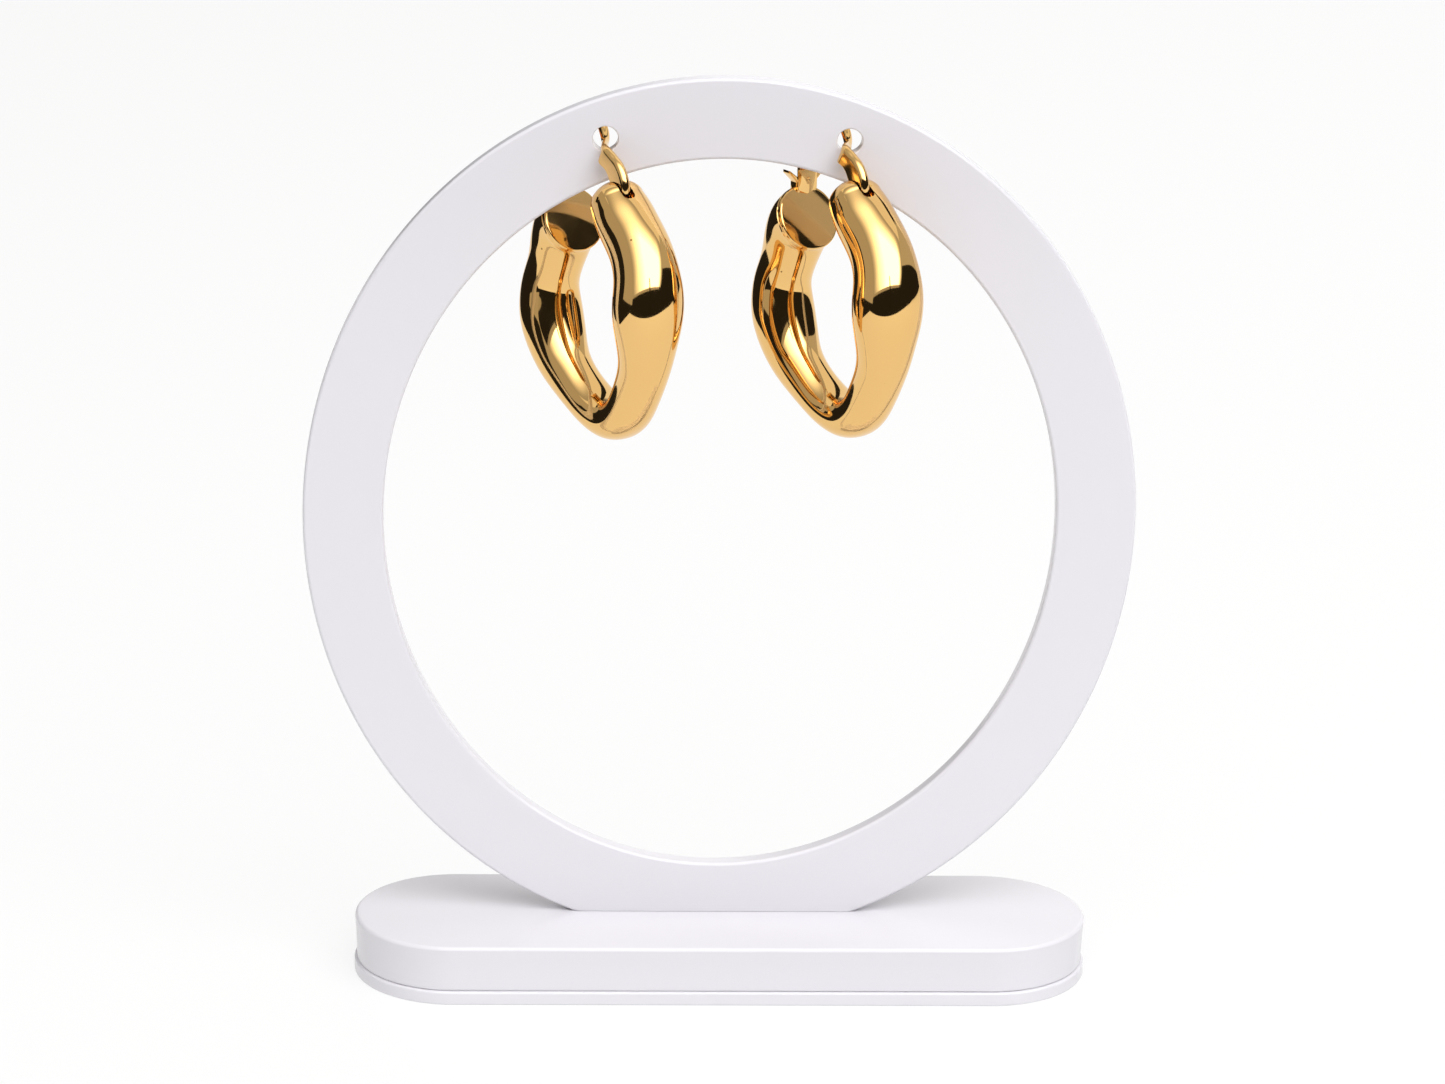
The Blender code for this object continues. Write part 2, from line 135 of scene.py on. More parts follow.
def embossed(tree, height, strength, depth):
    """A normal tilted by a height that is this deep."""
    feeds = {"Height": height, "Strength": strength, "Distance": depth}
    return node(tree, "ShaderNodeBump", feeds)["Normal"]


def principled(name, **values):
    """A material with one Principled shader, whose sockets take the plain values that are named."""
    made = bpy.data.materials.new(name)
    made.use_nodes = True
    shader = made.node_tree.nodes["Principled BSDF"]
    for socket, value in values.items():
        shader.inputs[socket.replace("_", " ")].default_value = value
    return made, made.node_tree, shader


def acrylic_material():
    """Cast white acrylic: a milky colour that clouds a little, a gloss that a cloth has wiped unevenly, and
    faint orange peel."""
    made, tree, shader = principled("white_acrylic", IOR=1.49, Specular_IOR_Level=0.5)
    place = object_place(tree)
    clouds = noise(tree, place, 55.0, 4.0)
    clouded = tuple(level * share for level, share in zip(ACRYLIC, ACRYLIC_CLOUD))
    feed(tree, shader.inputs["Base Color"], mixed(tree, clouds, ACRYLIC, clouded))
    feed(tree, shader.inputs["Roughness"], ranged(tree, clouds, 0.0, 1.0, *ACRYLIC_ROUGHNESS))
    peel = noise(tree, place, 700.0, 2.0)
    feed(tree, shader.inputs["Normal"], embossed(tree, peel, 0.04, 0.0001))
    return made


def arc(centre, radius, start, end, count):
    """Points on a circle's arc, as pairs, from one angle to another."""
    turn = np.radians(np.linspace(start, end, count))
    return np.stack([centre[0] + radius * np.cos(turn), centre[1] + radius * np.sin(turn)], 1)


def base_grid(steps=64):
    """Rounded-rim profile (inset, height) carried round a stadium: two straight sides and two half rounds. A
    point lies at the stadium's core line plus its outward direction times (half depth less inset)."""
    profile = np.vstack([
        [[SOLE_INSET, 0.0]],
        arc((SOLE_ROUND, SOLE_ROUND), SOLE_ROUND, 270, 180, 5),
        arc((PLINTH_ROUND, PLINTH_HEIGHT - PLINTH_ROUND), PLINTH_ROUND, 180, 105, 6),
        arc((BASE_WAIST + PLINTH_ROUND, PLINTH_HEIGHT + PLINTH_ROUND), PLINTH_ROUND, 255, 180, 6),
        [[0.9 * BASE_WAIST, 0.45 * BASE_HEIGHT], [0.7 * BASE_WAIST, 0.7 * BASE_HEIGHT]],
        arc((0.35 * BASE_WAIST + RIM_ROUND, BASE_HEIGHT - RIM_ROUND), RIM_ROUND, 180, 90, 9),
    ])
    half_turn = np.linspace(-pi / 2, pi / 2, steps)
    way = np.stack([np.cos(half_turn), np.sin(half_turn)], 1)
    way = np.vstack([way, -way])
    reach = BASE_LENGTH / 2 - BASE_DEPTH / 2
    core = np.repeat([[reach, 0.0], [-reach, 0.0]], steps, 0)
    outward = BASE_DEPTH / 2 - profile[:, 0]
    flat = core[None] + outward[:, None, None] * way[None]
    height = np.broadcast_to(profile[:, 1][:, None, None], (*flat.shape[:2], 1))
    return np.concatenate([flat, height], 2)


def true_flats(made):
    """Normals weighed by face area, so that flat faces stay flat up to their rounded edges."""
    weigh = made.modifiers.new("true flats", "WEIGHTED_NORMAL")
    weigh.keep_sharp = True
    weigh.weight = 80


white_acrylic = acrylic_material()
base = piece("display_base", surface("display_base", base_grid(), cap_ends=True), white_acrylic)
true_flats(base)
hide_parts("stand_base")
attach(base, "stand")

# Ring of the stand: a flat upright band of the same acrylic, a little taller than wide, cut from sheet with
# its edges eased and polished. It stands on the base on a flat chord and is drilled twice for the ear wires.
RING_HALF_WIDTH = 0.0535
RING_HALF_HEIGHT = 0.0575
RING_BAND = 0.0103
RING_THICKNESS = 0.0025
RING_EASE = 0.00045
RING_FOOT = BASE_HEIGHT + 0.00005
RING_CENTRE = np.array([-0.0010, 0.0009, 0.0619])
FOOT_CUT = ((-0.08, -0.01, -0.01), (0.08, 0.01, RING_FOOT))
HOLE_SPACING = 0.0306
HOLE_RADIUS = 0.0016
HOLE_EASE = 0.00018
DRILL_LEAD = 0.0004


def ring_grid(steps=360):
    """An oblong section with eased corners carried round an oval: a point that lies inward from the rim and
    at a depth is at ((half width - inward) cos t, depth, (half height - inward) sin t)."""
    half, ease = RING_THICKNESS / 2, RING_EASE
    section = np.vstack([
        arc((ease, half - ease), ease, 180, 90, 9),
        arc((RING_BAND - ease, half - ease), ease, 90, 0, 9),
        arc((RING_BAND - ease, ease - half), ease, 0, -90, 9),
        arc((ease, ease - half), ease, -90, -180, 9),
    ])
    turn = (np.arange(steps) * 2 * pi / steps)[:, None]
    inward, depth = section[None, :, 0], section[None, :, 1]
    wide = (RING_HALF_WIDTH - inward) * np.cos(turn)
    tall = (RING_HALF_HEIGHT - inward) * np.sin(turn)
    return np.stack([wide, np.broadcast_to(depth, wide.shape), tall], 2) + RING_CENTRE


def hole_middle(side):
    """The middle of a hole, halfway across the band's width: the left one's side is -1, the right one's 1."""
    wide, tall = RING_HALF_WIDTH - RING_BAND / 2, RING_HALF_HEIGHT - RING_BAND / 2
    return RING_CENTRE + [side * HOLE_SPACING / 2, 0, tall * sqrt(1 - (HOLE_SPACING / 2 / wide) ** 2)]


def lathe(profile, middle, steps=64):
    """A profile of (depth, radius) pairs turned about the line from front to back through a point."""
    turn = (np.arange(steps) * 2 * pi / steps)[None]
    depth, radius = np.broadcast_to(profile[:, :1], (len(profile), steps)), profile[:, 1:]
    return np.stack([radius * np.cos(turn), depth, radius * np.sin(turn)], 2) + middle


def box(low, high):
    """Grid of an upright box from its low corner to its high one, to be capped at both ends."""
    level = np.array([[low[0], low[1]], [high[0], low[1]], [high[0], high[1]], [low[0], high[1]]])
    return np.stack([np.column_stack([level, np.full(4, height)]) for height in (low[2], high[2])])


def carve(made, cutter, operation="DIFFERENCE", sharp=35):
    """Gives the object the mesh that a Boolean with the cutter's mesh leaves, and drops the cutter. The mesh
    is shaded smooth up to an angle in degrees."""
    helper = bpy.data.objects.new("cutter", cutter)
    bpy.context.scene.collection.objects.link(helper)
    change = made.modifiers.new("carve", "BOOLEAN")
    change.operation, change.solver, change.object = operation, "EXACT", helper
    graph = bpy.context.evaluated_depsgraph_get()
    uncut, made.data = made.data, bpy.data.meshes.new_from_object(made.evaluated_get(graph))
    made.modifiers.remove(change)
    bpy.data.objects.remove(helper)
    bpy.data.meshes.remove(cutter)
    bpy.data.meshes.remove(uncut)
    made.data.name = made.name
    made.data.set_sharp_from_angle(angle=radians(sharp))


ring = piece("display_ring", surface("display_ring", ring_grid(), wrap_along=True), white_acrylic)
carve(ring, surface("foot", box(*FOOT_CUT), cap_ends=True))
for side in (-1, 1):
    half = RING_THICKNESS / 2
    ease = arc((HOLE_EASE - half, HOLE_RADIUS + HOLE_EASE), HOLE_EASE, 180, 270, 7)
    lead = np.array([[-half - DRILL_LEAD, HOLE_RADIUS + HOLE_EASE + DRILL_LEAD]])
    drill = np.vstack([lead, ease, (ease * [-1, 1])[::-1], lead * [-1, 1]])
    carve(ring, surface("drill", lathe(drill, hole_middle(side)), cap_ends=True))
true_flats(ring)
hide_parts("stand_ring")
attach(ring, "stand")

# Hoops: thin gold-coloured metal shells formed hollow, with soft dents along the arms. The hinge end is a
# dome with a slot for the wire, and the back arm ends in a flat cap that is soldered on.
HOOP_TURN = radians(33.0 - 90.0)
HOOP_IN_FRONT = 0.0012
HOOP_SHIFT = {"left": 0.00025, "right": -0.0006}
HOOP_BELOW_HOLE = {"left": 0.0203, "right": 0.0198}
HOOP_HALF_WIDTH = 0.0114
HOOP_HALF_HEIGHT = 0.0150
TUBE_RADIUS = 0.0042
TUBE_SQUARENESS = 2.15
DOME_LENGTH = 0.0025
DOME_OPENING = 2
CAP_EDGE = 0.00022
CAP_ROWS = 4
SEAM_DEPTH = 0.00012
SEAM_WIDTH = 0.00025
SEAM_BACK = 0.0007
GOLD_COLOUR = (0.845, 0.540, 0.208, 1.0)
GOLD_WARM = (0.830, 0.515, 0.187, 1.0)
GOLD_PIT = (0.25, 0.13, 0.03, 1.0)

# From the hinge end, down the front arm, round the bottom and up the back arm to the cap. across and up are
# shares of the hoop's half width and half height, side, deep and wide of the tube's radius.
STATIONS = (
    # across, up, side, deep, wide
    (0.20, 0.87, 0.01, 0.74, 0.84),
    (0.31, 0.78, 0.01, 0.84, 0.92),
    (0.48, 0.66, 0.00, 0.89, 0.91),
    (0.67, 0.53, -0.02, 0.91, 0.93),
    (0.82, 0.37, -0.08, 0.93, 0.98),
    (0.91, 0.18, -0.16, 0.98, 1.08),
    (0.93, -0.01, -0.20, 0.96, 1.07),
    (0.91, -0.17, -0.19, 0.90, 0.96),
    (0.86, -0.37, -0.13, 0.80, 0.82),
    (0.76, -0.55, -0.07, 0.75, 0.74),
    (0.63, -0.73, -0.04, 0.71, 0.73),
    (0.48, -0.90, -0.02, 0.66, 0.75),
    (0.25, -1.01, 0.00, 0.62, 0.79),
    (-0.04, -0.98, -0.03, 0.62, 0.80),
    (-0.29, -0.89, -0.10, 0.64, 0.76),
    (-0.52, -0.78, -0.16, 0.71, 0.74),
    (-0.74, -0.65, -0.17, 0.79, 0.81),
    (-0.91, -0.48, -0.14, 0.88, 0.93),
    (-1.03, -0.28, -0.13, 0.92, 0.98),
    (-1.08, -0.07, -0.10, 0.90, 0.88),
    (-1.03, 0.08, -0.08, 0.84, 0.81),
    (-0.96, 0.21, -0.07, 0.86, 0.82),
    (-0.89, 0.36, -0.06, 0.93, 0.90),
    (-0.80, 0.50, -0.07, 0.98, 0.94),
    (-0.71, 0.57, -0.09, 0.99, 0.98),
    (-0.61, 0.60, -0.10, 1.00, 1.01),
)
STATION_BLUR = 0.42


def through_rows(rows, steps):
    """A smooth run through every row of a table: a Catmull-Rom curve with this many steps from row to row."""
    rows = np.asarray(rows, float)
    ends = np.vstack([2 * rows[0] - rows[1], rows, 2 * rows[-1] - rows[-2]])
    a, b, c, d = (ends[i:len(ends) - 3 + i, None, :] for i in range(4))
    share = (np.arange(steps) / steps)[None, :, None]
    second, third = 2 * a - 5 * b + 4 * c - d, 3 * b - a - 3 * c + d
    run = b + 0.5 * ((c - a) * share + second * share**2 + third * share**3)
    return np.vstack([run.reshape(-1, rows.shape[1]), rows[-1:]])


def evenly(rows, count, columns=2):
    """The run sampled again at even distances, measured on its first columns."""
    travelled = np.concatenate([[0], np.cumsum(np.linalg.norm(np.diff(rows[:, :columns], axis=0), axis=1))])
    wanted = np.linspace(0, travelled[-1], count)
    return np.stack([np.interp(wanted, travelled, column) for column in rows.T], 1)


def softened(rows, spread):
    """The run blurred along its length by a bell curve that is spread over so many rows, its ends held."""
    reach = int(4 * spread)
    before = 2 * rows[0] - rows[reach:0:-1]
    after = 2 * rows[-1] - rows[-2:-reach - 2:-1]
    bell = np.exp(-0.5 * (np.arange(-reach, reach + 1) / spread) ** 2)
    bell /= bell.sum()
    long = np.concatenate([before, rows, after])
    return np.lib.stride_tricks.sliding_window_view(long, 2 * reach + 1, axis=0) @ bell


def frames(line):
    """Unit directions along a line of (across, up) points, and square to it, to its left."""
    along = np.gradient(line, axis=0)
    along /= np.linalg.norm(along, axis=1)[:, None]
    return along, np.stack([-along[:, 1], along[:, 0]], 1)


def oval(deep, wide, squareness, steps):
    """Points round an oval: deep cos(t)^p, wide sin(t)^p, with p = 2 / squareness and the signs kept."""
    turn = (np.arange(steps) * 2 * pi / steps)[None]
    power = 2 / squareness
    first = np.sign(np.cos(turn)) * np.abs(np.cos(turn)) ** power
    second = np.sign(np.sin(turn)) * np.abs(np.sin(turn)) ** power
    return deep[:, None] * first, wide[:, None] * second


def tube_line(count=440):
    """The middle line of the tube and its half sizes in metres (across, up, side, deep, wide), smoothed by a
    bell curve with a spread of this share of a station's run."""
    scale = (HOOP_HALF_WIDTH, HOOP_HALF_HEIGHT, TUBE_RADIUS, TUBE_RADIUS, TUBE_RADIUS)
    rows = evenly(through_rows(np.array(STATIONS) * scale, 24), count)
    return softened(rows, count / len(STATIONS) * STATION_BLUR)


def cap_profile():
    """The cap as (outward, forward) from the tube's end: a seam, a rolled rim, a round edge, a flat face."""
    dip = -SEAM_DEPTH * np.array([0, 0.5, 1, 1, 0.5, 0])
    seam = np.column_stack([dip, np.linspace(-SEAM_BACK, SEAM_WIDTH - SEAM_BACK, len(dip))])
    roll = [[0.00003, -0.00035], [0.00004, -0.0002], [0.00002, -0.00008]]
    edge = arc((-CAP_EDGE, 0.0), CAP_EDGE, 0, 90, 9)
    flat = [[-CAP_EDGE - inset, CAP_EDGE] for inset in (0.0002, 0.0006)]
    return np.vstack([seam, roll, edge, flat])


def hoop_grid(steps=176, dome_rows=33):
    """Oval sections square to the middle line, closed by a dome and a cap. The dome's sections shrink as
    cos(t) while they step back by its length times sin(t). The cap takes the place of the last rows."""
    line = tube_line()
    along, out = frames(line[:, :2])
    first, second = oval(line[:, 3], line[:, 4], TUBE_SQUARENESS, steps)
    across = line[:, :1] + first * out[:, :1]
    up = line[:, 1:2] + first * out[:, 1:]
    tube = np.stack([across, line[:, 2:3] + second, up], 2)
    forward = np.stack([along[:, 0], np.zeros(len(along)), along[:, 1]], 1)
    middle = tube.mean(1, keepdims=True)
    turn = np.radians(np.linspace(90 - DOME_OPENING, 0, dome_rows + 1)[:-1])[:, None, None]
    dome = middle[0] + (tube[0] - middle[0]) * np.cos(turn) - forward[0] * DOME_LENGTH * np.sin(turn)
    outward, ahead = cap_profile().T[:, :, None, None]
    cap = middle[-1] + (tube[-1] - middle[-1]) * (1 + outward / line[-1, 3]) + forward[-1] * ahead
    return np.concatenate([dome, tube[:-CAP_ROWS], cap])


def hung(grid, name):
    """Points of a hoop (across, side, up) turned and moved to where that hoop hangs."""
    grid = np.asarray(grid, float)
    side = -1 if name == "left" else 1
    hang = hole_middle(side) + [HOOP_SHIFT[name], -RING_THICKNESS / 2 - HOOP_IN_FRONT, -HOOP_BELOW_HOLE[name]]
    across, aside, up = grid[..., 0], grid[..., 1], grid[..., 2]
    x = across * cos(HOOP_TURN) - aside * sin(HOOP_TURN)
    y = across * sin(HOOP_TURN) + aside * cos(HOOP_TURN)
    return np.stack([x, y, up], -1) + hang


def reckon(tree, operation, *values, **settings):
    """What a Math node makes of the values."""
    return node(tree, "ShaderNodeMath", dict(enumerate(values)), operation=operation, **settings)["Value"]


def buffing_group():
    """Traces of the polishing mop: a roughness that clouds a little and carries hairlines, a height with fine
    hairlines and a soft waviness of the sheet, and a mask of tiny pinpoint pits."""
    made = bpy.data.node_groups.new("buffing", "ShaderNodeTree")
    for label, value in (("Smooth", 0.03), ("Hazy", 0.08), ("Hairlines", 0.2)):
        socket = made.interface.new_socket(name=label, in_out="INPUT", socket_type="NodeSocketFloat")
        socket.default_value = value
    for label in ("Roughness", "Height", "Pits"):
        made.interface.new_socket(name=label, in_out="OUTPUT", socket_type="NodeSocketFloat")
    given = node(made, "NodeGroupInput", {})
    place = object_place(made)
    clouds = noise(made, place, 260.0, 5.0)
    drawn_out = {"Vector": place, "Scale": (9000.0, 9000.0, 500.0)}
    lines = noise(made, node(made, "ShaderNodeMapping", drawn_out)["Vector"], 1.0, 3.0)
    fine = reckon(made, "MULTIPLY", lines, given["Hairlines"])
    haze = reckon(made, "ADD", clouds, fine, use_clamp=True)
    gloss = ranged(made, haze, 0.3, 0.9, given["Smooth"], given["Hazy"])
    height = reckon(made, "MULTIPLY_ADD", fine, 0.002, noise(made, place, 170.0, 0.0))
    cells = node(made, "ShaderNodeTexVoronoi", {"Vector": place, "Scale": 190.0})["Distance"]
    pits = ranged(made, cells, 0.022, 0.03, 1.0, 0.0)
    node(made, "NodeGroupOutput", {"Roughness": gloss, "Height": height, "Pits": pits})
    return made


def gold_material(name, smooth, hazy, hairlines):
    """Mirror-polished gold plating on formed sheet or wire: buffing haze and hairlines, a very slight
    waviness, a colour that warms a little where the plating is thicker, and a few dark pinpoint pits."""
    made, tree, shader = principled(name, Metallic=1.0)
    feeds = {"Smooth": smooth, "Hazy": hazy, "Hairlines": hairlines}
    buffed = node(tree, "ShaderNodeGroup", feeds, node_tree=buffing)
    plated = mixed(tree, noise(tree, object_place(tree), 90.0, 3.0), GOLD_COLOUR, GOLD_WARM)
    feed(tree, shader.inputs["Base Color"], mixed(tree, buffed["Pits"], plated, GOLD_PIT))
    feed(tree, shader.inputs["Roughness"], buffed["Roughness"])
    feed(tree, shader.inputs["Normal"], embossed(tree, buffed["Height"], 0.3, 0.00002))
    return made


buffing = buffing_group()
mirror_gold = gold_material("mirror_gold", smooth=0.03, hazy=0.075, hairlines=0.2)

# Slot in the hoop's hinge end: the wire's root stands in it on a pin, whose two ends sit in seats that are
# bored through the shell. Its lips are eased with a file before the hoop is plated.
PIN_ACROSS = 0.0036
PIN_UP = 0.0133
PIN_RADIUS = 0.00045
PIN_CLEARANCE = 0.0002
PIN_HALF = 0.0019
WIRE_SIDE = -0.0003
BAND_THICKNESS = 0.0013
SLOT_SIDE_GAP = 0.0002
SLOT_BEHIND_PIN = 0.0021
SLOT_AHEAD_OF_PIN = 0.0023
SLOT_BELOW_PIN = 0.0018
SLOT_ABOVE_PIN = 0.009
SLOT_ROUND = 0.0007
LIP_EASE = 0.00015
SLIVER = 0.00004


def slot_grid():
    """An upright box with rounded corners about the pin, as levels of one outline (across, side, up)."""
    half, ease = BAND_THICKNESS / 2 + SLOT_SIDE_GAP, SLOT_ROUND
    outline = np.vstack([
        arc((SLOT_AHEAD_OF_PIN - ease, half - ease), ease, 90, 0, 8),
        arc((SLOT_AHEAD_OF_PIN - ease, ease - half), ease, 0, -90, 8),
        arc((ease - SLOT_BEHIND_PIN, ease - half), ease, -90, -180, 8),
        arc((ease - SLOT_BEHIND_PIN, half - ease), ease, 180, 90, 8),
    ])
    levels = (-SLOT_BELOW_PIN, SLOT_ABOVE_PIN)
    grid = np.stack([np.column_stack([outline, np.full(len(outline), level)]) for level in levels])
    return grid + [PIN_ACROSS, WIRE_SIDE, PIN_UP]


def rod(radius, profile, steps=40):
    """A round rod about the pin's line: a profile of (side, share of the radius) turned about it."""
    turn = (np.arange(steps) * 2 * pi / steps)[None]
    profile = np.asarray(profile, float)
    reach = radius * profile[:, 1:]
    side = np.broadcast_to(profile[:, :1], (len(profile), steps))
    return np.stack([reach * np.cos(turn), side, reach * np.sin(turn)], 2) + [PIN_ACROSS, WIRE_SIDE, PIN_UP]


for name in ("left", "right"):
    hoop = surface(f"{name}_shell", hung(hoop_grid(), name), cap_ends=True)
    hoop = piece(f"{name}_shell", hoop, mirror_gold)
    carve(hoop, surface("slot", hung(slot_grid(), name), cap_ends=True))
    half = PIN_HALF + PIN_CLEARANCE
    seats = rod(PIN_RADIUS + PIN_CLEARANCE, [(-half, 1), (half, 1)])
    carve(hoop, surface("seats", hung(seats, name), cap_ends=True))
    # Slivers that the cuts leave are merged, because the lips' bevel is held to the shortest edge.
    shape = bmesh.new()
    shape.from_mesh(hoop.data)
    bmesh.ops.remove_doubles(shape, verts=shape.verts[:], dist=SLIVER)
    shape.to_mesh(hoop.data)
    shape.free()
    hoop.data.set_sharp_from_angle(angle=radians(35))
    lips = hoop.modifiers.new("eased lips", "BEVEL")
    lips.width, lips.segments, lips.limit_method, lips.angle_limit = LIP_EASE, 3, "ANGLE", radians(40)
    lips.use_clamp_overlap = True
    true_flats(hoop)
    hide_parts(f"{name}_hoop")
    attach(hoop, f"{name}_swing")

# Catches: on each flat cap a small stamped plate with a pointed end, and behind it two cheeks whose tops
# flare out as lips and take the wire's tip between them. They are soldered to the shell.
CATCH_PLATE = 0.0004
CATCH_PROUD = 0.0006
CATCH_SIDE = 0.0002
CATCH_WIDTH = 0.0029
CATCH_ABOVE_TUBE = 0.0022
CATCH_BELOW_TUBE = 0.0004
CATCH_POINT = 0.0006
CATCH_CHEEK = 0.0004
CATCH_REACH = 0.0014
CATCH_SUNK = 0.0011
CATCH_EASE = 0.00008
LIP_OUT = 0.0012
LIP_RISE = 0.0012
DIMPLE = 0.0003


def catch_place():
    """Front of the catch's plate and top of the tube under it, as (across, up)."""
    line = tube_line()
    along, out = frames(line[:, :2])
    top = line[-1, :2] + out[-1] * line[-1, 3]
    return top[0] + along[-1, 0] * CAP_EDGE + CATCH_PROUD, top[1]


def stamped(name, outline, start, end):
    """A plate cut to an outline of (side, up) pairs and drawn out across from start to end, edges eased."""
    outline = np.asarray(outline, float)
    count = len(outline)
    first = np.arange(count)
    second = np.roll(first, -1)
    walls = np.stack([first, second, count + second, count + first], 1).tolist()
    ends = [first[::-1].tolist(), (count + first).tolist()]
    grid = np.stack([np.insert(outline, 0, level, 1) for level in (start, end)])
    mesh = bpy.data.meshes.new(name)
    mesh.from_pydata(grid.reshape(-1, 3).tolist(), [], walls + ends)
    shape = bmesh.new()
    shape.from_mesh(mesh)
    bmesh.ops.recalc_face_normals(shape, faces=shape.faces)
    bmesh.ops.bevel(shape, geom=shape.edges[:], offset=CATCH_EASE, segments=3, profile=0.5, affect="EDGES")
    shape.to_mesh(mesh)
    shape.free()
    return mesh


def moved(mesh, name):
    """The mesh with its points (across, side, up) turned and moved to the catch of that hoop."""
    points = np.empty(len(mesh.vertices) * 3)
    mesh.vertices.foreach_get("co", points)
    mesh.vertices.foreach_set("co", hung(points.reshape(-1, 3) + [0, CATCH_SIDE, 0], name).ravel())
    mesh.update()
    return mesh


def ball(middle, radius, steps=24):
    """Rings of a ball from pole to pole: at a tilt, a ring is cos(tilt) wide and sin(tilt) up, in radii."""
    tilt = np.radians(np.linspace(-84, 84, 13))[:, None]
    turn = (np.arange(steps) * 2 * pi / steps)[None]
    grid = np.stack([np.cos(tilt) * np.cos(turn), np.cos(tilt) * np.sin(turn), np.sin(tilt) + 0 * turn], 2)
    return np.asarray(middle) + radius * grid


front, top = catch_place()
half = CATCH_WIDTH / 2
low, high = top - CATCH_BELOW_TUBE, top + CATCH_ABOVE_TUBE
plate_outline = [(0, low - CATCH_POINT), (half, low), (half, high), (-half, high), (-half, low)]
inner, sunk, bend = half - CATCH_CHEEK, top - CATCH_SUNK, high - LIP_RISE
cheek_outline = [
    (inner, sunk), (half, sunk), (half, bend - CATCH_CHEEK),
    (half + LIP_OUT, bend + LIP_RISE - CATCH_CHEEK), (half + LIP_OUT, bend + LIP_RISE), (inner, bend),
]
for name in ("left", "right"):
    plate = stamped(f"{name}_catch_plate", plate_outline, front - CATCH_PLATE, front)
    plate = piece(f"{name}_catch_plate", moved(plate, name), mirror_gold)
    dimple = ball((front + DIMPLE / 2, CATCH_SIDE, top + 3 * DIMPLE), DIMPLE)
    carve(plate, surface("dimple", hung(dimple, name), cap_ends=True))
    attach(plate, f"{name}_swing")
    for side, place in ((-1, "near"), (1, "far")):
        flipped = [(side * reach, height) for reach, height in cheek_outline]
        back = front - CATCH_PLATE - CATCH_REACH
        cheek = stamped(f"{name}_{place}_cheek", flipped, back, front - CATCH_PLATE / 2)
        cheek = piece(f"{name}_{place}_cheek", moved(cheek, name), mirror_gold)
        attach(cheek, f"{name}_swing")

# Ear wires: each is a flat strip of solid gold-coloured wire, rounded on its outer edge, that narrows at a
# shoulder to a slim post, passes through the ring and springs into the catch. Its root is bored for the pin.
EYE_WALL = 0.00055
EYE_PROUD = 0.00003
ARCH_HEIGHT = 0.0078
BAND_WIDTH = 0.0025
POST_WIDTH = 0.0011
POST_THICKNESS = 0.0011
TIP_CLEARANCE = 0.0004
TIP_ROUND = 0.0003
# How far each wire has settled in its hole, to its side and up, and the run of its arch that has.
SETTLED = {"left": (0.0, 0.0), "right": (0.0009, -0.0005)}
SETTLED_RUN = (-0.97, -0.4, 0.16, 0.52)

# From the pin to the tip. across is a share of the half span, up of the arch's height, side of the band's
# thickness, outer and inner of the band's width, or of the post's width where post is 1.
WIRE_STATIONS = (
    # across, up, side, outer, inner, post
    (1.00, 0.00, 0.00, 0.46, 0.46, 0),
    (1.04, 0.13, 0.00, 0.46, 0.48, 0),
    (1.04, 0.25, 0.00, 0.48, 0.60, 0),
    (0.97, 0.38, 0.00, 0.50, 0.68, 0),
    (0.86, 0.50, 0.00, 0.48, 0.66, 0),
    (0.73, 0.585, 0.00, 0.42, 0.58, 0),
    (0.63, 0.65, -0.03, 0.38, 0.62, 0),
    (0.55, 0.70, -0.06, 0.33, 0.70, 0),
    (0.49, 0.74, -0.08, 0.30, 0.66, 0),
    (0.43, 0.77, -0.02, 0.50, 0.58, 1),
    (0.36, 0.785, 0.16, 0.50, 0.50, 1),
    (0.27, 0.79, 0.48, 0.50, 0.50, 1),
    (0.16, 0.80, 0.90, 0.50, 0.50, 1),
    (0.05, 0.82, 1.34, 0.50, 0.50, 1),
    (-0.07, 0.87, 1.72, 0.50, 0.50, 1),
    (-0.20, 0.95, 1.98, 0.50, 0.50, 1),
    (-0.36, 1.06, 2.10, 0.50, 0.50, 1),
    (-0.54, 1.00, 1.68, 0.50, 0.50, 1),
    (-0.73, 0.85, 1.14, 0.50, 0.50, 1),
    (-0.88, 0.66, 0.72, 0.50, 0.50, 1),
    (-0.97, 0.45, 0.47, 0.50, 0.50, 1),
    (-1.01, 0.22, 0.38, 0.50, 0.50, 1),
)


def strip(outer, inner, half):
    """Sections of a strip as (reach, side) for each station: a full round on the outer edge and two small
    rounds on the inner one, from -outer to inner across and half to either side."""
    outer, inner, half = outer[:, None], inner[:, None], half[:, None]
    nose = np.radians(np.linspace(-90, 90, 17))[None]
    corner = np.radians(np.linspace(90, 0, 7))[None]
    ease = 0.3 * half
    first = [half - outer - half * np.cos(nose), inner - ease + ease * np.cos(corner)]
    second = [half * np.sin(nose), half - ease + ease * np.sin(corner)]
    first = np.concatenate([*first, first[1][:, ::-1]], 1)
    second = np.concatenate([*second, -second[1][:, ::-1]], 1)
    return first, second


